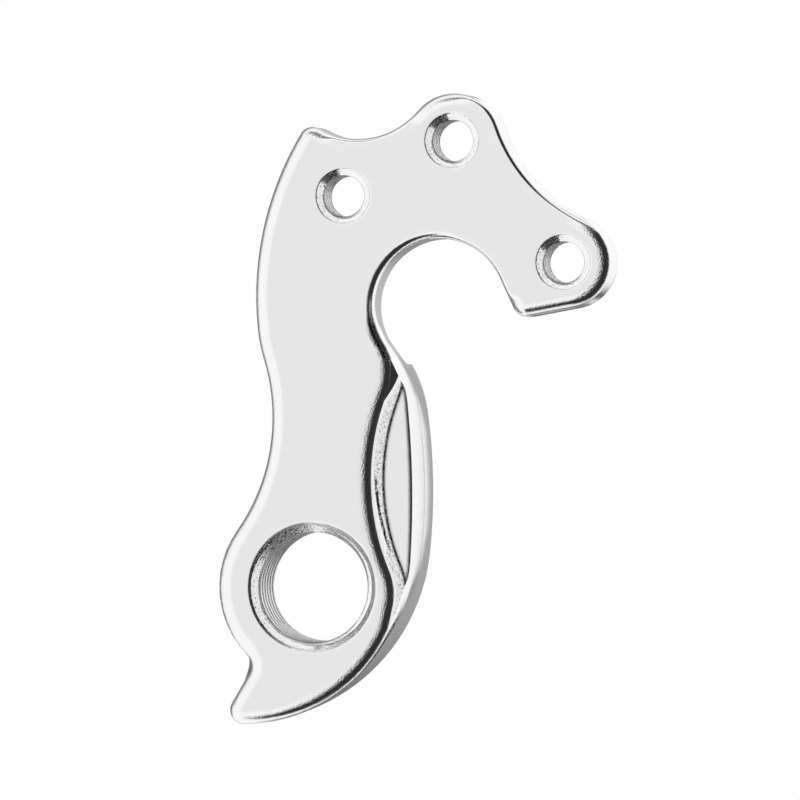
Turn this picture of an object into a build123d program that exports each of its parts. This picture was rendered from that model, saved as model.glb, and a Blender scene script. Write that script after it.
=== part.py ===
from build123d import *
import os
from cmath import phase, rect
from math import cos, pi, radians, sin, sqrt

# Bicycle derailleur hanger: one aluminium forging, trimmed to its outline, drilled and tapped.
# X points forward along the bicycle, Z up and Y towards the wheel. The outer face lies in the plane
# Y = 0, and the derailleur hole's axis meets it at the origin. Lengths are in millimetres.

# Place of the wheel axle from the derailleur hole. The flange's places are measured from the axle.
AXLE_FORWARD = 10.40
AXLE_RISE = 22.90

# Depths behind the outer face
DRAFT_DEPTH = 3.5              # end of the sloped side and start of the trimmed, upright side
FLANGE_THICKNESS = 4.5         # seat of the flange against the frame
ARM_THICKNESS = 7.6            # back of the arm
STEP_DROP = 4.7                # step from the thin flange to the thick arm, below the axle

# Derailleur hole, M10 x 1, bored to the root of its thread
DERAILLEUR_BORE = 10.0
DERAILLEUR_RIM = 10.6          # mouth of the lead-in

# Frame screw holes, M4 x 0.7, bored to the root of their threads, at places from the axle
SCREW_BORE = 4.0
SCREW_RIM = 4.5
REAR_SCREW = (-7.82, 8.99)
TOP_SCREW = (1.20, 13.45)
FRONT_SCREW = (10.36, 3.54)

# Flange outline
AXLE_NOTCH_RADIUS = 5.5
HOOK_CENTRE = (7.15, 0.25)     # nose between the axle notch and the front lobe
HOOK_RADIUS = 1.1
FRONT_LOBE_RADIUS = 3.75
NECK_RADIUS = 13.0             # hollow between the front lobe and the top lobe
TOP_LOBE_RADIUS = 3.85
SADDLE_RADIUS = 6.6            # hollow between the top lobe and the rear tip
TIP_CENTRE = (-10.55, 13.55)
TIP_RADIUS = 1.1
REAR_EDGE_RADIUS = 25.5
BULGE_CENTRE = (-2.25, -0.5)   # rear bulge
BULGE_RADIUS = 12.9

# Arm outline
WAIST_RADIUS = 16.0            # hollow between the bulge and the round end
LOBE_RADIUS = 7.9              # round end about the derailleur hole
TAIL_CENTRE = (-5.85, -10.05)  # from the derailleur hole
TAIL_RADIUS = 1.15

# Outline sizes that the sloped side changes between the outer face and the trimmed side
OUTER_SIDE_SETBACK = 3.5       # front side of the arm behind the axle
TRIM_SIDE_SETBACK = 1.65
OUTER_SIDE_DROP = 18.4         # below the axle, where the front side stands furthest forward
TRIM_SIDE_DROP = 15.1
OUTER_SIDE_RADIUS = 200.0
TRIM_SIDE_RADIUS = 48.0
OUTER_SHOULDER_RADIUS = 9.5    # from the front side into the axle notch
TRIM_SHOULDER_RADIUS = 10.7
OUTER_SWEEP_RADIUS = 12.2      # from the tail up to the front side
TRIM_SWEEP_RADIUS = 15.7
OUTER_NICK_RADIUS = 0.9        # nick between the round end and the tail
TRIM_NICK_RADIUS = 2.5
OUTER_NICK_DROP = 6.54         # nick below the derailleur hole
TRIM_NICK_DROP = 6.13

# Terrace let into the outer face along the front side of the arm
TERRACE_DEPTH = 1.75
TERRACE_CENTRE = (13.5, -14.1)  # from the axle
TERRACE_RADIUS = 19.1          # hollow line that the terrace follows
TERRACE_HEAD_RADIUS = 5.0      # from that line out to the front side, above and below
TERRACE_FOOT_RADIUS = 5.0
TERRACE_LIP_RADIUS = 1.1       # rounding from the outer face down to the ramp
TERRACE_RAMP = 0.9             # from the foot of the lip out to the floor
LIP_START = 7.0                # slopes at which the lip leaves the outer face and meets the ramp, in degrees
LIP_END = 75.0

# Rounded and bevelled edges
OUTER_EDGE_RADIUS = 1.1
BACK_EDGE_RADIUS = 0.5
STEP_BEVEL = 0.3
STEP_ROOT_RADIUS = 0.8

# Allowances by which the cutting shapes overrun the part, and the margin for finding edges by depth
OVERCUT = 1.0
TERRACE_RUN_OUT = 6.5
TERRACE_REACH = 6.0
MARGIN = 0.001

AXLE = complex(AXLE_FORWARD, AXLE_RISE)

# The outline is worked out in the complex plane, X + iZ, as a chain of touching circles. A circle is
# its centre and a radius, which is negative where the outline is hollow.


def meet(first, first_reach, second, second_reach):
    """Point at set distances from two centres, to the right of the way from first to second."""
    way = second - first
    along = (first_reach**2 - second_reach**2 + abs(way) ** 2) / (2 * abs(way))
    aside = sqrt(first_reach**2 - along**2)
    return first + way / abs(way) * complex(along, -aside)


def blend(first, second, radius):
    """Circle of the given radius that touches both circles."""
    (first_centre, first_radius), (second_centre, second_radius) = first, second
    centre = meet(first_centre, abs(first_radius - radius), second_centre, abs(second_radius - radius))
    return centre, radius


def link(first, second):
    """Where the outline leaves the first circle and where it joins the second."""
    (first_centre, first_radius), (second_centre, second_radius) = first, second
    way = second_centre - first_centre
    lean = (first_radius - second_radius) / abs(way)
    touching = abs(lean) > 1 - 1e-9
    turn = round(lean) if touching else complex(lean, -sqrt(1 - lean**2))
    normal = way / abs(way) * turn
    return first_centre + first_radius * normal, second_centre + second_radius * normal


def from_axle(offset):
    """Place of a point that is measured from the axle."""
    return AXLE + complex(*offset)


def pair(place):
    """Complex place as a pair of plane coordinates."""
    return place.real, place.imag


def arc(circle, start, end):
    """Stretch of a circle, run counterclockwise where the outline is full and clockwise where hollow."""
    centre, radius = circle
    angle = phase((end - centre) / (start - centre)) % (2 * pi)
    if radius < 0:
        angle -= 2 * pi
    middle = centre + (start - centre) * rect(1, angle / 2)
    return ThreePointArc(pair(start), pair(middle), pair(end))


def outline_circles(
    side_setback, side_drop, side_radius, shoulder_radius, sweep_radius, nick_radius, nick_drop
):
    """Circles of the outline, counterclockwise from the tail."""
    tail = (complex(*TAIL_CENTRE), TAIL_RADIUS)
    side = (from_axle((-side_setback - side_radius, -side_drop)), side_radius)
    notch = (AXLE, -AXLE_NOTCH_RADIUS)
    hook = (from_axle(HOOK_CENTRE), HOOK_RADIUS)
    front_lobe = (from_axle(FRONT_SCREW), FRONT_LOBE_RADIUS)
    top_lobe = (from_axle(TOP_SCREW), TOP_LOBE_RADIUS)
    tip = (from_axle(TIP_CENTRE), TIP_RADIUS)
    bulge = (from_axle(BULGE_CENTRE), BULGE_RADIUS)
    lobe = (0j, LOBE_RADIUS)
    nick_back = sqrt((LOBE_RADIUS + nick_radius) ** 2 - nick_drop**2)
    nick = (complex(-nick_back, -nick_drop), -nick_radius)
    sweep_arc = blend(tail, side, sweep_radius)
    shoulder = blend(side, notch, shoulder_radius)
    neck = blend(front_lobe, top_lobe, -NECK_RADIUS)
    saddle = blend(top_lobe, tip, -SADDLE_RADIUS)
    rear_edge = blend(bulge, tip, REAR_EDGE_RADIUS)
    waist = blend(bulge, lobe, -WAIST_RADIUS)
    lower = [tail, sweep_arc, side, shoulder, notch, hook]
    upper = [front_lobe, neck, top_lobe, saddle, tip, rear_edge, bulge, waist, lobe, nick]
    return lower + upper


def outline_face(circles, depth):
    """Face inside the outline, at a depth behind the outer face."""
    links = [link(circle, following) for circle, following in zip(circles, circles[1:] + circles[:1])]
    edges = []
    for index, circle in enumerate(circles):
        joined = links[index - 1][1]
        left, next_joined = links[index]
        edges.append(arc(circle, joined, left))
        if abs(next_joined - left) > MARGIN:
            edges.append(Line(pair(left), pair(next_joined)))
    return Plane.XZ.offset(-depth) * make_face(edges)


def edges_at(shape, depth):
    """Edges that lie at a depth behind the outer face."""
    return shape.edges().filter_by_position(Axis.Y, depth - MARGIN, depth + MARGIN)


def lip_point(slope):
    """Place on the terrace's lip where it has a slope, as distance out from its line and depth."""
    return TERRACE_LIP_RADIUS * (sin(slope) - 1), TERRACE_LIP_RADIUS * (1 - cos(slope))


def terrace_cutter(circles):
    """Solid that the terrace takes away: a lip, ramp and floor carried along the terrace's line."""
    sweep_arc, side = circles[1], circles[2]
    hollow = (from_axle(TERRACE_CENTRE), -TERRACE_RADIUS)
    foot = blend(sweep_arc, hollow, TERRACE_FOOT_RADIUS)
    head = blend(hollow, side, TERRACE_HEAD_RADIUS)
    route = [sweep_arc, foot, hollow, head, side]
    touches = [link(circle, following)[0] for circle, following in zip(route, route[1:])]
    outward = (touches[0] - sweep_arc[0]) / sweep_arc[1]
    last_outward = (touches[-1] - side[0]) / side[1]
    start = touches[0] - outward * 1j * TERRACE_RUN_OUT
    end = touches[-1] + last_outward * 1j * TERRACE_RUN_OUT
    path = [Line(pair(start), pair(touches[0]))]
    path += [arc(*stretch) for stretch in zip(route[1:-1], touches, touches[1:])]
    path += [Line(pair(touches[-1]), pair(end))]

    lip_edge = lip_point(radians(LIP_START))
    lip_foot = lip_point(radians(LIP_END))
    lip = ThreePointArc(lip_edge, lip_point(radians((LIP_START + LIP_END) / 2)), lip_foot)
    shut = Polyline(
        lip_foot,
        (TERRACE_RAMP, TERRACE_DEPTH),
        (TERRACE_REACH, TERRACE_DEPTH),
        (TERRACE_REACH, -OVERCUT),
        (lip_edge[0], -OVERCUT),
        lip_edge,
    )
    profile = make_face([lip, shut])
    along = outward * 1j
    section = Plane(
        origin=(start.real, 0, start.imag),
        x_dir=(outward.real, 0, outward.imag),
        z_dir=(along.real, 0, along.imag),
    )
    return sweep(section * profile, path=Plane.XZ * Wire(path))


def step_cutter(reach):
    """Solid taken from behind the flange, down to its seat: the step's bevel, face and hollow root."""
    depth = ARM_THICKNESS - FLANGE_THICKNESS
    bow = STEP_ROOT_RADIUS * (1 - sqrt(0.5))
    face_foot = (0, depth - STEP_ROOT_RADIUS)
    seat_start = (STEP_ROOT_RADIUS, depth)
    root = ThreePointArc(face_foot, (bow, depth - bow), seat_start)
    shut = Polyline(
        seat_start,
        (reach, depth),
        (reach, -OVERCUT),
        (-STEP_BEVEL - OVERCUT, -OVERCUT),
        (0, STEP_BEVEL),
        face_foot,
    )
    section = Plane(origin=(0, ARM_THICKNESS, AXLE_RISE - STEP_DROP), x_dir=(0, 0, 1), z_dir=(1, 0, 0))
    return extrude(section * make_face([root, shut]), reach, both=True)


def tapped_hole(centre, bore, rim, thickness):
    """Solid of a through hole with a 45 degree lead-in at each face."""
    lead = (rim - bore) / 2
    mouth = rim / 2 + OVERCUT
    half_section = Polyline(
        (0, -OVERCUT),
        (mouth, -OVERCUT),
        (bore / 2, lead),
        (bore / 2, thickness - lead),
        (mouth, thickness + OVERCUT),
        (0, thickness + OVERCUT),
        close=True,
    )
    return Pos(centre.real, 0, centre.imag) * revolve(make_face(half_section), Axis.Y)


outer_circles = outline_circles(
    OUTER_SIDE_SETBACK,
    OUTER_SIDE_DROP,
    OUTER_SIDE_RADIUS,
    OUTER_SHOULDER_RADIUS,
    OUTER_SWEEP_RADIUS,
    OUTER_NICK_RADIUS,
    OUTER_NICK_DROP,
)
trim_circles = outline_circles(
    TRIM_SIDE_SETBACK,
    TRIM_SIDE_DROP,
    TRIM_SIDE_RADIUS,
    TRIM_SHOULDER_RADIUS,
    TRIM_SWEEP_RADIUS,
    TRIM_NICK_RADIUS,
    TRIM_NICK_DROP,
)
outer_face = outline_face(outer_circles, 0)
trim_face = outline_face(trim_circles, DRAFT_DEPTH)

# Sloped front layer with its rounded outer edge
front = loft([outer_face, trim_face], ruled=True)
front = fillet(edges_at(front, 0), OUTER_EDGE_RADIUS)

# Upright rear layer with its rounded back edge, cut down to the flange's seat above the step
rear = extrude(trim_face, DRAFT_DEPTH - ARM_THICKNESS)
rear = fillet(edges_at(rear, ARM_THICKNESS), BACK_EDGE_RADIUS)
rear -= step_cutter(rear.bounding_box().size.Z)

hanger = front + rear - terrace_cutter(outer_circles)
hanger -= tapped_hole(0j, DERAILLEUR_BORE, DERAILLEUR_RIM, ARM_THICKNESS)
for screw in (REAR_SCREW, TOP_SCREW, FRONT_SCREW):
    hanger -= tapped_hole(from_axle(screw), SCREW_BORE, SCREW_RIM, FLANGE_THICKNESS)

os.makedirs("parts", exist_ok=True)
export_step(hanger, "parts/derailleur_hanger.step")
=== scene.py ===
import math
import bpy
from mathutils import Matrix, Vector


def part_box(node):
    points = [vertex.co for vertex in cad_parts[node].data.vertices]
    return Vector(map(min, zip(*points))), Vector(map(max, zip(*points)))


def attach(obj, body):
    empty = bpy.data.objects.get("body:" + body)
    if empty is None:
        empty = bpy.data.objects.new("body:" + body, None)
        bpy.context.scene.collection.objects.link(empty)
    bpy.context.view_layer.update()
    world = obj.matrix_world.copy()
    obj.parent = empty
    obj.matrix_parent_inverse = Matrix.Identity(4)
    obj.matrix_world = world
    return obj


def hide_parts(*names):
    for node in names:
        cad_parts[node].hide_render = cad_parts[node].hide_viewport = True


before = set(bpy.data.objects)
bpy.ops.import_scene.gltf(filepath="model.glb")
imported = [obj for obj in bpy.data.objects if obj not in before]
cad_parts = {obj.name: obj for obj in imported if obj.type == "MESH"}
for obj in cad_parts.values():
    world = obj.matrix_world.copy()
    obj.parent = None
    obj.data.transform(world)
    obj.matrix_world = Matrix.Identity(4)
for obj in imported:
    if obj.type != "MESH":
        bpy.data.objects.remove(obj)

from types import SimpleNamespace

import bmesh
import bpy
import numpy as np
from bpy.props import FloatProperty, FloatVectorProperty, PointerProperty
from bpy.types import Operator, Panel, PropertyGroup
from mathutils import Vector

bl_info = {
    "name": "Derailleur hanger",
    "version": (1, 0, 0),
    "blender": (4, 5, 0),
    "location": "3D View > Sidebar > Hanger",
    "description": "Dresses the derailleur hanger and sets its studio",
    "category": "Object",
}

NODE = "derailleur_hanger"
MM = 0.001
AXLE = (10.40 * MM, 0.0, 22.90 * MM)
SCREWS = {
    "rear": (2.58 * MM, 31.89 * MM),
    "top": (11.60 * MM, 36.35 * MM),
    "front": (20.76 * MM, 26.44 * MM),
}

# Face marks that the metal reads: all but the last are on the body, mouth and groove are on the threads
MARKS = ("side", "draft", "ramp", "floor", "mouth", "groove")

# Trimmed sides, in millimetres: height, depth at which the trimming starts, run over which it sets in
TRIM = (
    (-12, 1.0, 0.2),
    (-8, 1.0, 0.2),
    (-4, 1.55, 0.3),
    (-2, 2.2, 0.4),
    (0, 2.4, 0.5),
    (5, 2.3, 4.3),
    (13, 2.5, 4.1),
    (16, 2.7, 1.2),
    (20, 2.4, 0.6),
    (23, 1.3, 0.5),
    (30, 1.2, 0.5),
)

# Studio cards, in degrees, by the angle from the right through the top: where the dark card starts and
# ends off the viewer's side, how dark it is, how soft its start is, where the dim back of the studio
# starts and how light that is
CARDS = (
    (-180, 60, 66, 0.0, 4, 96, 0.20),
    (-160, 60, 66, 0.0, 4, 100, 0.25),
    (-145, 60, 66, 0.0, 4, 125, 0.75),
    (-104, 60, 66, 0.0, 4, 125, 0.85),
    (-96, 56, 86, 1.0, 4, 112, 0.10),
    (-78, 48, 106, 1.0, 5, 118, 0.12),
    (-62, 44, 126, 1.0, 10, 140, 0.60),
    (-40, 42, 132, 1.0, 18, 150, 0.95),
    (50, 42, 130, 1.0, 18, 150, 1.00),
    (64, 54, 112, 0.8, 8, 150, 0.95),
    (80, 58, 80, 0.9, 4, 125, 0.50),
    (104, 58, 80, 0.9, 4, 108, 0.40),
    (125, 60, 80, 0.1, 6, 100, 0.25),
    (160, 60, 66, 0.0, 4, 86, 0.25),
    (180, 60, 66, 0.0, 4, 96, 0.20),
)


class HangerFinish(PropertyGroup):
    """Metal finish of the hanger."""

    base_colour: FloatVectorProperty(
        name="Metal", description="Reflectance of the bare metal", subtype="COLOR", size=3,
        default=(0.93, 0.93, 0.935), min=0.0, max=1.0,
    )
    roughness: FloatProperty(
        name="Roughness", description="Roughness of the tumbled faces", default=0.09, min=0.02, max=1.0,
    )
    cut_roughness: FloatProperty(
        name="Cut roughness", description="Roughness of the trimmed sides", default=0.45, min=0.02, max=1.0,
    )
    ramp_roughness: FloatProperty(
        name="Ramp roughness", description="Roughness of the terrace ramp", default=0.22, min=0.02, max=1.0,
    )
    grain_size: FloatProperty(
        name="Grain", description="Width of the tumbling grain", default=0.13 * MM, unit="LENGTH",
        min=0.01 * MM, max=1.0 * MM,
    )
    grain_depth: FloatProperty(
        name="Grain depth", description="Height of the tumbling grain", default=0.05 * MM, unit="LENGTH",
        min=0.0, max=0.5 * MM,
    )
    edge_radius: FloatProperty(
        name="Edge", description="Radius to which the tumbling has worn the crisp edges",
        default=0.4 * MM, unit="LENGTH", min=0.0, max=1.0 * MM,
    )
    cut_dulling: FloatProperty(
        name="Cut dulling", description="How much darker the trimmed sides are",
        default=0.5, min=0.0, max=1.0,
    )
    ramp_scallop: FloatProperty(
        name="Ramp scallops", description="How far the cutter's scallops on the terrace ramp face outward",
        default=0.85, min=0.0, max=1.0,
    )
    draft_wear: FloatProperty(
        name="Draft wear", description="How much steeper the sloped side is worn",
        default=0.65, min=0.0, max=1.0,
    )


class HangerThread(PropertyGroup):
    """Sizes of the tapped threads."""

    derailleur_root: FloatProperty(
        name="Derailleur root", description="Root radius of the derailleur thread", default=5.0 * MM,
        unit="LENGTH", min=1.0 * MM, max=10.0 * MM,
    )
    derailleur_crest: FloatProperty(
        name="Derailleur crest", description="Crest radius of the derailleur thread", default=4.5 * MM,
        unit="LENGTH", min=1.0 * MM, max=10.0 * MM,
    )
    derailleur_pitch: FloatProperty(
        name="Derailleur pitch", description="Pitch of the derailleur thread", default=1.0 * MM,
        unit="LENGTH", min=0.2 * MM, max=3.0 * MM,
    )
    derailleur_rim: FloatProperty(
        name="Derailleur rim", description="Radius of the derailleur hole's mouth", default=5.3 * MM,
        unit="LENGTH", min=1.0 * MM, max=10.0 * MM,
    )
    derailleur_length: FloatProperty(
        name="Derailleur length", description="Length of the derailleur hole", default=7.6 * MM,
        unit="LENGTH", min=1.0 * MM, max=20.0 * MM,
    )
    screw_root: FloatProperty(
        name="Screw root", description="Root radius of the frame screw threads", default=2.0 * MM,
        unit="LENGTH", min=0.5 * MM, max=5.0 * MM,
    )
    screw_crest: FloatProperty(
        name="Screw crest", description="Crest radius of the frame screw threads", default=1.67 * MM,
        unit="LENGTH", min=0.5 * MM, max=5.0 * MM,
    )
    screw_pitch: FloatProperty(
        name="Screw pitch", description="Pitch of the frame screw threads", default=0.7 * MM,
        unit="LENGTH", min=0.2 * MM, max=3.0 * MM,
    )
    screw_rim: FloatProperty(
        name="Screw rim", description="Radius of the frame screw holes' mouths", default=2.25 * MM,
        unit="LENGTH", min=0.5 * MM, max=5.0 * MM,
    )
    screw_length: FloatProperty(
        name="Screw length", description="Length of the frame screw holes", default=4.5 * MM,
        unit="LENGTH", min=1.0 * MM, max=20.0 * MM,
    )


class HangerStudio(PropertyGroup):
    """Camera and studio round the hanger."""

    yaw: FloatProperty(
        name="Camera yaw", description="Turn of the camera to the hanger's right", default=math.radians(10.8),
        subtype="ANGLE",
    )
    distance: FloatProperty(
        name="Distance", description="Camera to hanger", default=0.7, unit="LENGTH", min=0.1, max=5.0,
    )
    lens: FloatProperty(
        name="Lens", description="Focal length on a 36 mm frame, in millimetres", default=387.45,
    )
    target: FloatVectorProperty(
        name="Target", description="Point at the middle of the picture", subtype="XYZ", unit="LENGTH", size=3,
        default=(7.33 * MM, 0.0, 15.27 * MM),
    )
    floor_drop: FloatProperty(
        name="Floor", description="Floor below the hanger's lowest point", default=30 * MM, unit="LENGTH",
        min=0.0, max=1.0,
    )
    dome_radius: FloatProperty(
        name="Cards", description="Distance of the studio cards", default=3.0, unit="LENGTH",
        min=1.0, max=20.0,
    )
    floor_radius: FloatProperty(
        name="Floor radius", description="Radius of the round floor", default=0.35, unit="LENGTH",
        min=0.05, max=5.0,
    )


class Nodes:
    """Shorthand for building a node tree."""

    def __init__(self, tree):
        self.tree = tree

    def add(self, kind, inputs=(), **settings):
        node = self.tree.nodes.new(kind)
        for key, value in settings.items():
            setattr(node, key, value)
        for key, value in dict(inputs).items():
            self.feed(node.inputs[key], value)
        return node

    def feed(self, socket, value):
        if isinstance(value, bpy.types.NodeSocket):
            self.tree.links.new(value, socket)
        else:
            socket.default_value = value

    def math(self, operation, first, second=0.0):
        return self.add("ShaderNodeMath", {0: first, 1: second}, operation=operation).outputs[0]

    def times(self, first, *others):
        """Product of the values."""
        for other in others:
            first = self.math("MULTIPLY", first, other)
        return first

    def most(self, first, *others):
        """Largest of the values."""
        for other in others:
            first = self.math("MAXIMUM", first, other)
        return first

    def less(self, first, second):
        """First value minus the second."""
        return self.math("SUBTRACT", first, second)

    def gap(self, first, second):
        """Distance between two values."""
        return self.math("ABSOLUTE", self.less(first, second))

    def affine(self, value, scale, offset):
        """Value times scale, plus offset."""
        node = self.add("ShaderNodeMath", {0: value, 1: scale, 2: offset}, operation="MULTIPLY_ADD")
        return node.outputs[0]

    def mix(self, factor, first, second):
        """First value at factor 0, second at factor 1."""
        node = self.add("ShaderNodeMix", {"Factor": factor, "A": first, "B": second}, data_type="FLOAT")
        return node.outputs[0]

    def colour(self, factor, first, second):
        """First colour at factor 0, second at factor 1."""
        ends = {"Factor": factor, 6: (*first, 1.0), 7: (*second, 1.0)}
        return self.add("ShaderNodeMix", ends, data_type="RGBA").outputs[2]

    def vector(self, operation, first, second=(0.0, 0.0, 0.0), output="Vector"):
        node = self.add("ShaderNodeVectorMath", {0: first, 1: second}, operation=operation)
        return node.outputs[output]

    def ramp(self, factor, stops):
        """Three values that change in straight lines between the stops."""
        node = self.add("ShaderNodeValToRGB", {0: factor})
        node.color_ramp.interpolation = "LINEAR"
        elements = node.color_ramp.elements
        while len(elements) < len(stops):
            elements.new(1.0)
        for element, (place, values) in zip(elements, stops):
            element.position = place
            element.color = (*values, 1.0)
        return self.add("ShaderNodeSeparateColor", {0: node.outputs[0]}).outputs

    def step(self, value, low, high):
        """Smooth step from 0 at low to 1 at high."""
        node = self.add("ShaderNodeMapRange", {0: value, 1: low, 2: high}, interpolation_type="SMOOTHSTEP")
        return node.outputs[0]


def node_group(name, inputs, outputs):
    """New shader node group with its sockets, its tree helper and its two end nodes."""
    tree = bpy.data.node_groups.new(name, "ShaderNodeTree")
    for label, kind in inputs:
        tree.interface.new_socket(label, in_out="INPUT", socket_type=kind)
    for label, kind in outputs:
        tree.interface.new_socket(label, in_out="OUTPUT", socket_type=kind)
    nodes = Nodes(tree)
    return tree, nodes, nodes.add("NodeGroupInput"), nodes.add("NodeGroupOutput")


def grain_group():
    """Tumbling grain: a fine noise and a broad one, both read from a place on the object."""
    name = "tumbled_grain"
    if name in bpy.data.node_groups:
        return bpy.data.node_groups[name]
    tree, nodes, start, end = node_group(
        name,
        [("Place", "NodeSocketVector"), ("Size", "NodeSocketFloat")],
        [("Fine", "NodeSocketFloat"), ("Broad", "NodeSocketFloat")],
    )
    rate = nodes.math("DIVIDE", 1.0, start.outputs["Size"])
    fine = nodes.add("ShaderNodeTexNoise", {"Vector": start.outputs["Place"], "Scale": rate, "Detail": 1.0})
    slow = nodes.math("MULTIPLY", rate, 0.03)
    broad = nodes.add("ShaderNodeTexNoise", {"Vector": start.outputs["Place"], "Scale": slow, "Detail": 3.0})
    nodes.feed(end.inputs["Fine"], fine.outputs[0])
    nodes.feed(end.inputs["Broad"], broad.outputs[0])
    return tree


def skin(nodes, finish):
    """What the metal's masks read: the place on the hanger, the grain, the marks and how the metal faces."""
    place = nodes.add("ShaderNodeTexCoord").outputs["Object"]
    axes = nodes.add("ShaderNodeSeparateXYZ", {0: place}).outputs
    flat = nodes.vector("MULTIPLY", place, (1.0, 0.0, 1.0))
    grain = nodes.add("ShaderNodeGroup", node_tree=grain_group())
    nodes.feed(grain.inputs["Place"], place)
    grain.inputs["Size"].default_value = finish.grain_size
    normal = nodes.add("ShaderNodeNewGeometry").outputs["Normal"]
    turned = nodes.add("ShaderNodeVectorTransform", {0: normal}, vector_type="NORMAL", convert_to="OBJECT")
    aims = nodes.add("ShaderNodeSeparateXYZ", {0: turned.outputs[0]}).outputs
    facing = aims["Y"]
    marks = {name: nodes.add("ShaderNodeAttribute", attribute_name=name).outputs["Fac"] for name in MARKS}
    return SimpleNamespace(
        across=axes["X"], depth=axes["Y"], height=axes["Z"], fine=grain.outputs["Fine"],
        broad=grain.outputs["Broad"], normal=normal, sideways=aims["X"], facing=facing, upward=aims["Z"],
        tilt=nodes.math("SQRT", nodes.less(1.0, nodes.times(facing, facing))),
        from_bore=nodes.vector("LENGTH", flat, output="Value"),
        from_axle=nodes.vector("DISTANCE", flat, AXLE, output="Value"), **marks,
    )


def trimmed_sides(nodes, at, finish):
    """Masks of the trimmed sides: where they are cut, how dull they are, and their parting line.

    The depth at which the trimming starts changes up the hanger. Near the tail its start is a dark line.
    """
    low, high = TRIM[0][0], TRIM[-1][0]
    up = nodes.affine(at.height, 1.0 / ((high - low) * MM), -low / (high - low))
    stops = [((z - low) / (high - low), (start / 10, run / 10, 0.0)) for z, start, run in TRIM]
    start, run, _ = nodes.ramp(up, stops)
    start = nodes.times(start, 10.0 * MM)
    cut = nodes.times(at.side, nodes.step(at.depth, start, nodes.affine(run, 10.0 * MM, start)))
    flange = nodes.step(at.height, 17.5 * MM, 19.5 * MM)
    speckle = nodes.affine(at.fine, 0.4, finish.cut_dulling - 0.2)
    dull = nodes.times(cut, speckle, nodes.affine(flange, -0.4, 1.0))
    parting = nodes.times(
        nodes.step(nodes.gap(at.depth, start), 0.5 * MM, 0.25 * MM), nodes.step(at.fine, 0.3, 0.5),
        nodes.step(at.height, -0.5 * MM, -3.5 * MM), at.side,
    )
    return cut, nodes.most(dull, nodes.times(parting, 0.85)), parting


def terrace_ramp(nodes, at):
    """Masks of the terrace's ramp: the whole ramp, its smooth lip, its rough rest, and its pits with painted
    shade along its foot and in its crease.
    """
    # The ramp's head is rubbed over, down to a border that sinks up the hanger
    head = nodes.affine(at.height, 0.26, (0.82 - 0.26 * 15.1) * MM)
    ramp = nodes.times(at.ramp, nodes.step(at.depth, nodes.affine(head, 1.0, -0.06 * MM), head))

    # The lip runs along the ramp's top, and below the middle it ends at a crease
    crease = nodes.affine(at.height, -0.04, 1.5 * MM)
    lower = nodes.times(nodes.step(at.height, 2.6 * MM, 3.6 * MM), nodes.step(at.height, 9.4 * MM, 8.6 * MM))
    lip_end = nodes.mix(lower, 1.04 * MM, nodes.affine(crease, 1.0, -0.05 * MM))
    lip_end = nodes.most(lip_end, nodes.affine(head, 1.0, 0.24 * MM))
    lip = nodes.times(nodes.step(at.depth, lip_end, nodes.affine(lip_end, 1.0, -0.06 * MM)), ramp)
    rough = nodes.less(ramp, lip)

    # Painted shade darkens the ramp along its foot and in the crease, and its rough part is pitted
    foot = nodes.times(nodes.step(at.depth, 1.5 * MM, 1.66 * MM), at.fine, 2.0)
    split = nodes.times(
        nodes.step(nodes.gap(at.depth, crease), 0.14 * MM, 0.06 * MM), nodes.step(at.fine, 0.32, 0.5), lower
    )
    pits = nodes.times(nodes.step(at.fine, 0.54, 0.64), 0.6, rough)
    return ramp, lip, rough, nodes.most(nodes.times(nodes.most(foot, split), ramp), pits)


def painted_hook_reflection(nodes, at):
    """Mask of the rounding at the axle notch's foot, painted dark where it would mirror the hook: a painted
    reflection.
    """
    return nodes.times(
        nodes.step(at.tilt, 0.5, 0.7), nodes.step(at.tilt, 0.999, 0.985),
        nodes.step(at.height, 22.4 * MM, 21.2 * MM), nodes.step(at.height, 18.5 * MM, 18.75 * MM),
        nodes.step(at.depth, 1.1 * MM, 1.0 * MM), nodes.step(at.from_axle, 8.4 * MM, 7.8 * MM),
        nodes.affine(at.fine, 0.7, 0.5),
    )


def mouth_patches(nodes, at, overhang):
    """Mask of the patches in which the chamfers of the holes are burred and face outward."""
    bore = nodes.step(at.from_bore, 6.5 * MM, 6.0 * MM)
    burr = nodes.mix(bore, 0.02 * MM, nodes.affine(overhang, 0.1 * MM, 0.16 * MM))
    worn = nodes.times(
        nodes.step(at.fine, 0.22, 0.44), nodes.step(at.depth, burr, nodes.affine(burr, 1.0, 0.07 * MM))
    )
    hung = nodes.times(nodes.step(at.upward, -0.28, -0.45), nodes.step(at.sideways, 0.0, 0.2))
    in_bore = nodes.times(nodes.step(at.sideways, -0.25, 0.15), nodes.affine(overhang, -0.4, 1.0))
    return nodes.times(at.mouth, worn, nodes.mix(bore, nodes.affine(hung, -0.5, 1.0), in_bore))


def keen_edges(nodes, at):
    """Masks of the keen edges, round the neck, the saddle and the notch, and of the keenest among them."""
    notch = nodes.times(nodes.step(at.from_axle, 8.4 * MM, 7.8 * MM), nodes.step(at.height, 20 * MM, 23 * MM))
    hook = nodes.times(nodes.step(at.across, 10.5 * MM, 12.5 * MM), nodes.step(at.height, 23.2 * MM, 24 * MM))
    neck = nodes.times(nodes.step(at.height, 28.5 * MM, 30.5 * MM), nodes.step(at.across, 11 * MM, 14 * MM))
    saddle = nodes.times(
        nodes.step(at.across, 0.5 * MM, 2 * MM), nodes.step(at.across, 9.5 * MM, 8 * MM),
        nodes.step(at.height, 33 * MM, 34.5 * MM),
    )
    outer = nodes.most(neck, saddle)
    left_of_hook = nodes.step(at.across, 14.5 * MM, 12.5 * MM)
    keen = nodes.most(outer, nodes.times(notch, nodes.most(hook, left_of_hook)))
    return nodes.times(keen, nodes.less(1.0, at.mouth)), nodes.most(outer, hook)


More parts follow.
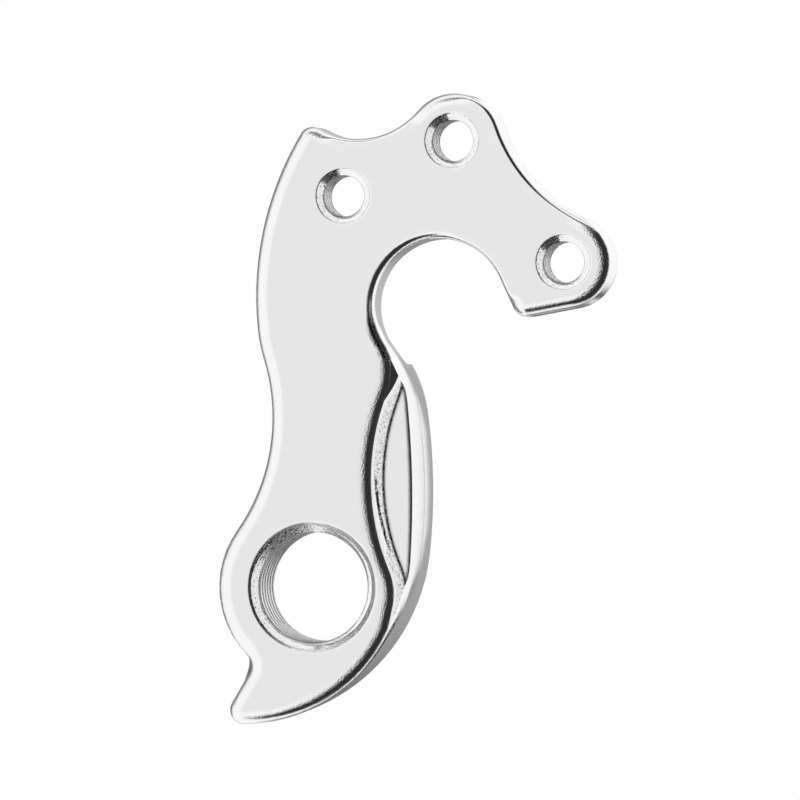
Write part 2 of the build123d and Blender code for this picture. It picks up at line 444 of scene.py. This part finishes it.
def metal_material(finish):
    """Bright tumbled aluminium, one for the body and the threads.

    It is duller and rougher where the marks show a machined surface, and its colour carries painted shade
    along the ramp's foot and crease, at the terrace floor's corners and in the thread grooves, and a painted
    dark reflection of the hook at the notch's foot. Its normal is bent where an edge, the terrace or a hole's
    mouth is worn.
    """
    name = "bright_aluminium_tumbled"
    if name in bpy.data.materials:
        return bpy.data.materials[name]
    material = bpy.data.materials.new(name)
    material.use_nodes = True
    nodes = Nodes(material.node_tree)
    shader = material.node_tree.nodes["Principled BSDF"].inputs
    shader["Metallic"].default_value = 1.0
    at = skin(nodes, finish)
    cut, dull, parting = trimmed_sides(nodes, at, finish)
    ramp, lip, rough, ramp_pits_and_shade = terrace_ramp(nodes, at)
    keen, keenest = keen_edges(nodes, at)
    overhang = nodes.times(nodes.step(at.upward, -0.05, -0.5), nodes.step(at.sideways, -0.45, -0.15))

    # Painted shade darkens the terrace floor at its corners, where the rounded normal parts from the true one
    edge = nodes.add("ShaderNodeBevel", {"Radius": finish.edge_radius}, samples=6).outputs[0]
    together = nodes.vector("DOT_PRODUCT", edge, at.normal, "Value")
    corner = nodes.times(at.floor, nodes.step(together, 0.985, 0.95), nodes.affine(at.fine, 1.4, 0.1))
    # Painted shade in the thread grooves, deeper towards the root and much darker where the bore's wall faces
    # down
    groove = nodes.times(at.groove, nodes.mix(overhang, 0.15, 0.95))
    # The colour darkens with the trimmed sides' dulling, the ramp's pits, the painted shade above and the
    # painted reflection of the hook
    dull = nodes.most(dull, ramp_pits_and_shade, corner, groove, painted_hook_reflection(nodes, at))
    nodes.feed(shader["Base Color"], nodes.colour(dull, finish.base_colour, (0.0, 0.0, 0.0)))
    nodes.feed(shader["Specular Tint"], nodes.colour(parting, (1.0, 1.0, 1.0), (0.1, 0.1, 0.1)))

    smooth = nodes.times(nodes.affine(at.broad, 0.3, 0.85), finish.roughness)
    smooth = nodes.mix(rough, smooth, finish.ramp_roughness)
    nodes.feed(shader["Roughness"], nodes.mix(cut, smooth, finish.cut_roughness))

    # The ramp is scalloped to face outward and its lip is burred past that, and so are the holes' mouths
    # in patches. A keen edge turns late
    lean = nodes.affine(ramp, -finish.ramp_scallop, 1.0)
    lean = nodes.less(lean, nodes.times(lip, 0.27))
    lean = nodes.less(lean, nodes.times(mouth_patches(nodes, at, overhang), 0.75))
    late = nodes.step(at.tilt, nodes.mix(keenest, 0.2, 0.6), 0.97)
    lean = nodes.times(lean, nodes.mix(keen, 1.0, late))

    # The sloped side is worn steeper, save along the terrace's rim
    rim = nodes.times(
        nodes.step(at.height, 0.2 * MM, 1.0 * MM), nodes.step(at.height, 17 * MM, 16 * MM),
        nodes.step(at.depth, 2.15 * MM, 1.9 * MM),
    )
    steep = nodes.affine(nodes.times(at.draft, nodes.less(1.0, rim)), -finish.draft_wear, 1.0)
    bend = nodes.add("ShaderNodeCombineXYZ", {"X": lean, "Y": steep, "Z": lean}).outputs[0]
    crisp = nodes.most(ramp, at.mouth)
    rounded = nodes.add("ShaderNodeMix", {"Factor": crisp, 4: edge, 5: at.normal}, data_type="VECTOR")
    level = nodes.vector("NORMALIZE", nodes.vector("MULTIPLY", rounded.outputs[1], bend))

    # The flat faces are rubbed smooth, and the grain shows where the metal turns away from them, less so
    # on upright walls, on keen edges and on those that face up or down
    flatness = nodes.math("ABSOLUTE", at.facing)
    past = nodes.affine(nodes.step(flatness, 0.9, 0.72), -0.6, 1.0)
    curved = nodes.times(nodes.step(flatness, 0.999, 0.97), past)
    steepness = nodes.math("ABSOLUTE", at.upward)
    calm = nodes.step(steepness, nodes.affine(at.tilt, 0.8, 0.01), nodes.affine(at.tilt, 0.95, 0.02))
    calm = nodes.most(nodes.less(nodes.most(calm, keen), at.mouth), 0.0)
    wall = nodes.step(flatness, 0.3, 0.1)
    grained = nodes.times(
        nodes.affine(curved, 0.99, 0.01), nodes.affine(at.draft, -0.7, 1.0), nodes.affine(calm, -0.65, 1.0),
        nodes.affine(wall, -0.8, 1.0),
    )
    grained = nodes.most(grained, nodes.times(nodes.most(cut, rough), 0.5))
    bump = nodes.add("ShaderNodeBump", {"Strength": grained, "Height": at.fine, "Normal": level})
    bump.inputs["Distance"].default_value = finish.grain_depth
    nodes.feed(shader["Normal"], bump.outputs[0])
    return material


def mesh_object(name, mesh, material):
    """Object at the origin that rides on the hanger."""
    piece = bpy.data.objects.new(name, mesh)
    bpy.context.scene.collection.objects.link(piece)
    mesh.materials.append(material)
    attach(piece, "root")
    return piece


def read(collection, field, width=3):
    """Field of every item of a mesh collection, as an array of rows."""
    values = np.empty(len(collection) * width, np.float32)
    collection.foreach_get(field, values)
    return values.reshape(-1, width)


def mark(mesh, name, values):
    """Number per face, for the material to read."""
    mesh.attributes.new(name, "FLOAT", "FACE").data.foreach_set("value", np.asarray(values, np.float32))


class HANGER_OT_body(Operator):
    """Dress the hanger's body: one skin over the solid, with its machined surfaces marked."""

    bl_idname = "hanger.body"
    bl_label = "Body"

    def execute(self, context):
        finish = context.scene.hanger_finish
        thread = context.scene.hanger_thread
        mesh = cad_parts[NODE].data.copy()
        mesh.name = "hanger_body"
        true_normals = read(mesh.corner_normals, "vector")
        carried = mesh.attributes.new("true_normal", "FLOAT_VECTOR", "CORNER")
        carried.data.foreach_set("vector", true_normals.ravel())
        work = bmesh.new()
        work.from_mesh(mesh)
        bmesh.ops.remove_doubles(work, verts=work.verts, dist=1e-7)
        work.to_mesh(mesh)
        work.free()
        if not mesh.polygons:
            raise RuntimeError("the hanger's solid has no faces")
        true_normals = read(mesh.attributes["true_normal"].data, "vector")
        mesh.attributes.remove(mesh.attributes["true_normal"])
        mesh.materials.clear()
        mesh.shade_smooth()
        mesh.normals_split_custom_set(true_normals.tolist())
        centres = read(mesh.polygons, "center")
        normals = read(mesh.polygons, "normal")
        x, y, z = centres.T
        holes = np.hypot(x, z) < thread.derailleur_root * 1.01
        mouths = np.hypot(x, z) < thread.derailleur_rim
        for screw_x, screw_z in SCREWS.values():
            from_screw = np.hypot(x - screw_x, z - screw_z)
            holes |= from_screw < thread.screw_root * 1.01
            mouths |= from_screw < thread.screw_rim
        facing = normals[:, 1]
        mark(mesh, "side", (np.abs(facing) < 0.62) & (y > 0.9 * MM) & (x < 12 * MM) & ~holes)
        mark(mesh, "draft", (facing < -0.1) & (facing > -0.62) & (y > 0.9 * MM) & (y < 3.5 * MM) & ~holes)
        slanted = (facing > -0.82) & (facing < -0.63)
        terrace = (x > 4 * MM) & (y > 0.8 * MM) & (y < 1.76 * MM) & (z > -8 * MM) & (z < 20 * MM)
        mark(mesh, "ramp", slanted & terrace & ~holes)
        mark(mesh, "floor", (facing < -0.98) & (np.abs(y - 1.75 * MM) < 0.05 * MM))
        mark(mesh, "mouth", mouths & (facing < -0.55) & (facing > -0.85) & (y < 0.5 * MM))
        piece = mesh_object("hanger_body", mesh, metal_material(finish))
        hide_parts(NODE)
        return {"FINISHED"}


def thread_mesh(name, centre, root, crest, pitch, rim, length):
    """Closed sleeve whose inner side is the thread.

    With t the angle round the hole, y the depth, s the sink of 0.02 mm, f = frac(y / pitch + t / 2pi) and
    d = |f - 1/2|, the inner radius is r(t, y) = crest + (root - s - crest) * clip((0.24 - d) / 0.18, 0, 1),
    cut back along the lead-ins, so that r >= rim - y + s and r >= rim - (length - y) + s. The grid's last
    two rings lie in the metal behind the bore and shut the sleeve. The mark mouth is on the lead-in at the
    outer face, and groove, between the lead-ins, runs from 1/2 on the crest to 1 at the root.
    """
    around, along = 96, int(length / pitch * 16)
    sink = 0.02 * MM
    t = np.linspace(0.0, 2.0 * np.pi, around, endpoint=False)[:, None]
    y = np.linspace(0.15 * MM, length - 0.15 * MM, along)[None, :]
    d = np.abs((y / pitch + t / (2.0 * np.pi)) % 1.0 - 0.5)
    r = crest + (root - sink - crest) * np.clip((0.24 - d) / 0.18, 0.0, 1.0)
    r = np.maximum(r, np.maximum(rim - y, rim - (length - y)) + sink)
    back = np.full((around, 2), rim + 0.05 * MM)
    r = np.concatenate([r, back], axis=1)
    y = np.concatenate([np.repeat(y, around, 0), y[:, [-1, 0]].repeat(around, 0)], axis=1)
    places = np.stack([centre[0] + r * np.cos(t), y, centre[1] + r * np.sin(t)], axis=-1).reshape(-1, 3)
    rings = along + 2
    i, j = np.meshgrid(np.arange(around), np.arange(rings), indexing="ij")
    i_next, j_next = (i + 1) % around, (j + 1) % rings
    quads = np.stack(
        [i * rings + j, i_next * rings + j, i_next * rings + j_next, i * rings + j_next], axis=-1
    ).reshape(-1, 4)
    mesh = bpy.data.meshes.new(name)
    mesh.from_pydata(places, [], quads)
    mesh.shade_smooth()
    mesh.validate()
    x, y, z = read(mesh.polygons, "center").T
    mark(mesh, "mouth", y < rim - crest)
    deep = np.clip((np.hypot(x - centre[0], z - centre[1]) - crest) / (root - crest), 0.0, 1.0)
    between = (y > rim - crest) & (y < length - (rim - crest))
    mark(mesh, "groove", (0.5 + 0.5 * deep) * between)
    return mesh


class HANGER_OT_threads(Operator):
    """Cut the threads: a ridged sleeve in the derailleur hole and in each frame screw hole."""

    bl_idname = "hanger.threads"
    bl_label = "Threads"

    def execute(self, context):
        size = context.scene.hanger_thread
        material = metal_material(context.scene.hanger_finish)
        big = thread_mesh(
            "derailleur_thread", (0.0, 0.0), size.derailleur_root, size.derailleur_crest,
            size.derailleur_pitch, size.derailleur_rim, size.derailleur_length,
        )
        mesh_object("derailleur_thread", big, material)
        for name, centre in SCREWS.items():
            small = thread_mesh(
                f"{name}_thread", centre, size.screw_root, size.screw_crest,
                size.screw_pitch, size.screw_rim, size.screw_length,
            )
            mesh_object(f"{name}_thread", small, material)
        return {"FINISHED"}


class HANGER_OT_stage(Operator):
    """Set the camera, the soft studio round the hanger and the pale floor."""

    bl_idname = "hanger.stage"
    bl_label = "Stage"

    def execute(self, context):
        scene = context.scene
        studio = scene.hanger_studio
        scene.view_settings.view_transform = "Standard"
        lens = bpy.data.cameras.new("camera")
        lens.sensor_width = 36.0
        lens.lens = studio.lens
        lens.clip_start, lens.clip_end = 0.01, 50.0
        camera = bpy.data.objects.new("camera", lens)
        scene.collection.objects.link(camera)
        back = Vector((math.sin(studio.yaw), -math.cos(studio.yaw), 0.0))
        camera.location = Vector(studio.target) + back * studio.distance
        camera.rotation_euler = (math.pi / 2, 0.0, studio.yaw)
        scene.camera = camera
        self.light(scene)
        self.cards(scene, studio)
        self.floor(scene, studio)
        return {"FINISHED"}

    def light(self, scene):
        """Plain white world, a little dimmer where it only lights."""
        world = bpy.data.worlds.new("studio")
        scene.world = world
        world.use_nodes = True
        tree = world.node_tree
        nodes = Nodes(tree)
        ray = nodes.add("ShaderNodeLightPath").outputs
        seen = nodes.most(ray["Is Camera Ray"], ray["Is Glossy Ray"], ray["Is Transmission Ray"])
        light = tree.nodes["Background"]
        light.inputs["Color"].default_value = (1.0, 1.0, 1.0, 1.0)
        nodes.feed(light.inputs["Strength"], nodes.mix(seen, 0.9, 1.0))

    def cards(self, scene, studio):
        """Dome of pale and dark studio cards, which the metal mirrors.

        The dome is a sphere of radius R about the origin: with u from 0 to 2pi round the line out of the
        hanger's outer face and v from 0 to pi off that line, a point is R (sin v cos u, -cos v, sin v sin u).
        In the material, away is v / pi, and about runs from 0 at the left, through the bottom, the right
        and the top, to 1. The rows of CARDS set the dark card and the dim back of the studio. In front of
        the hanger the dome is a little less than white, and its far back is white above and dark below.
        """
        around, along = 48, 24
        u = np.arange(around)[:, None] / around * 2.0 * np.pi
        v = np.linspace(0.0, np.pi, along + 1)[None, 1:-1]
        ring = np.stack([np.sin(v) * np.cos(u), -np.cos(v) + 0.0 * u, np.sin(v) * np.sin(u)], axis=-1)
        places = np.concatenate([ring.reshape(-1, 3), [[0.0, -1.0, 0.0], [0.0, 1.0, 0.0]]])
        rings = along - 1
        i, j = np.meshgrid(np.arange(around), np.arange(rings - 1), indexing="ij")
        i_next = (i + 1) % around
        quads = np.stack(
            [i * rings + j, i * rings + j + 1, i_next * rings + j + 1, i_next * rings + j], axis=-1
        ).reshape(-1, 4)
        first = np.arange(around) * rings
        second = np.roll(first, -1)
        poles = len(places) - 2
        front = np.stack([np.full(around, poles), first, second], axis=-1)
        rear = np.stack([np.full(around, poles + 1), second + rings - 1, first + rings - 1], axis=-1)
        mesh = bpy.data.meshes.new("studio_cards")
        mesh.from_pydata(places * studio.dome_radius, [], [*quads.tolist(), *front.tolist(), *rear.tolist()])
        dome = bpy.data.objects.new("studio_cards", mesh)
        scene.collection.objects.link(dome)
        dome.visible_camera = False
        dome.visible_diffuse = False
        dome.visible_shadow = False

        material = bpy.data.materials.new("studio_cards")
        material.use_nodes = True
        tree = material.node_tree
        tree.nodes.remove(tree.nodes["Principled BSDF"])
        nodes = Nodes(tree)
        place = nodes.add("ShaderNodeTexCoord").outputs["Object"]
        way = nodes.add("ShaderNodeSeparateXYZ", {0: nodes.vector("NORMALIZE", place)}).outputs
        away = nodes.times(nodes.math("ARCCOSINE", nodes.times(way["Y"], -1.0)), 1.0 / math.pi)
        about = nodes.affine(nodes.math("ARCTAN2", way["Z"], way["X"]), 0.5 / math.pi, 0.5)
        turns = [(angle + 180) / 360 for angle, *_ in CARDS]
        dark, back = [], []
        for turn, (_, start, end, depth, soft, dim_from, dim) in zip(turns, CARDS):
            dark.append((turn, (start / 180, end / 180, depth)))
            back.append((turn, (soft / 180, dim_from / 180, dim)))
        start, end, depth = nodes.ramp(about, dark)
        soft, dim_from, dim = nodes.ramp(about, back)
        inner = nodes.step(away, nodes.less(start, soft), nodes.math("ADD", start, soft))
        outer = nodes.step(away, nodes.affine(end, 1.0, 4.0 / 180), nodes.affine(end, 1.0, -4.0 / 180))
        card = nodes.times(inner, outer, depth)
        whitest = nodes.affine(nodes.gap(about, 0.5), -44.0 / 180, 46.0 / 180)
        pale = nodes.mix(nodes.step(away, 13.0 / 180, whitest), 0.85, 1.0)
        behind = nodes.step(away, dim_from, nodes.affine(dim_from, 1.0, 24.0 / 180))
        level = nodes.mix(behind, nodes.mix(card, pale, 0.03), dim)
        lower = nodes.times(
            nodes.step(about, 0.03, 0.06), nodes.step(about, 0.19, 0.15),
            nodes.step(away, 148.0 / 180, 156.0 / 180),
        )
        upper = nodes.times(
            nodes.step(about, 0.55, 0.60), nodes.step(about, 0.90, 0.86),
            nodes.step(away, 156.0 / 180, 163.0 / 180),
        )
        level = nodes.mix(upper, nodes.mix(lower, level, 0.2), 1.0)
        glow = nodes.add("ShaderNodeEmission", {"Strength": level})
        glow.inputs["Color"].default_value = (1.0, 1.0, 1.0, 1.0)
        nodes.feed(tree.nodes["Material Output"].inputs["Surface"], glow.outputs[0])
        mesh.materials.append(material)

    def floor(self, scene, studio):
        """Round pale floor below the hanger, which takes its shadow and fades to white at its rim."""
        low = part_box(NODE)[0].z - studio.floor_drop
        t = np.linspace(0.0, 2.0 * np.pi, 96, endpoint=False)
        rim = studio.floor_radius
        mesh = bpy.data.meshes.new("floor")
        places = np.stack([rim * np.cos(t), rim * np.sin(t), np.full_like(t, low)], axis=-1)
        mesh.from_pydata(places, [], [range(len(t))])
        floor = bpy.data.objects.new("floor", mesh)
        scene.collection.objects.link(floor)
        floor.visible_glossy = False
        material = bpy.data.materials.new("pale_floor")
        material.use_nodes = True
        nodes = Nodes(material.node_tree)
        shader = material.node_tree.nodes["Principled BSDF"]
        shader.inputs["Base Color"].default_value = (0.8, 0.8, 0.8, 1.0)
        shader.inputs["Roughness"].default_value = 1.0
        shader.inputs["Specular IOR Level"].default_value = 0.0
        shader.inputs["Emission Color"].default_value = (1.0, 1.0, 1.0, 1.0)
        shader.inputs["Emission Strength"].default_value = 0.36
        white = nodes.add("ShaderNodeEmission", {"Strength": 1.0})
        white.inputs["Color"].default_value = (1.0, 1.0, 1.0, 1.0)
        place = nodes.add("ShaderNodeTexCoord").outputs["Object"]
        reach = nodes.vector("LENGTH", nodes.vector("MULTIPLY", place, (1.0, 1.0, 0.0)), output="Value")
        fade = nodes.step(reach, rim * 0.3, rim * 0.85)
        blend = nodes.add("ShaderNodeMixShader", {0: fade, 1: shader.outputs[0], 2: white.outputs[0]})
        nodes.feed(material.node_tree.nodes["Material Output"].inputs["Surface"], blend.outputs[0])
        mesh.materials.append(material)


class HANGER_PT_panel(Panel):
    """Steps that dress the hanger."""

    bl_label = "Derailleur hanger"
    bl_idname = "HANGER_PT_panel"
    bl_space_type = "VIEW_3D"
    bl_region_type = "UI"
    bl_category = "Hanger"

    def draw(self, context):
        for operator in OPERATORS:
            self.layout.operator(operator.bl_idname)


OPERATORS = (HANGER_OT_body, HANGER_OT_threads, HANGER_OT_stage)
GROUPS = {
    "hanger_finish": HangerFinish,
    "hanger_thread": HangerThread,
    "hanger_studio": HangerStudio,
}


def register():
    """Register the property groups, operators and panel."""
    for name, group in GROUPS.items():
        bpy.utils.register_class(group)
        setattr(bpy.types.Scene, name, PointerProperty(type=group))
    for kind in (*OPERATORS, HANGER_PT_panel):
        bpy.utils.register_class(kind)


def unregister():
    """Take back what register() made."""
    for kind in reversed((*OPERATORS, HANGER_PT_panel)):
        bpy.utils.unregister_class(kind)
    for name, group in GROUPS.items():
        delattr(bpy.types.Scene, name)
        bpy.utils.unregister_class(group)


def main():
    """Dress the hanger and set the stage."""
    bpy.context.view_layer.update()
    register()
    bpy.ops.hanger.body()
    bpy.ops.hanger.threads()
    bpy.ops.hanger.stage()


if __name__ == "__main__":
    main()
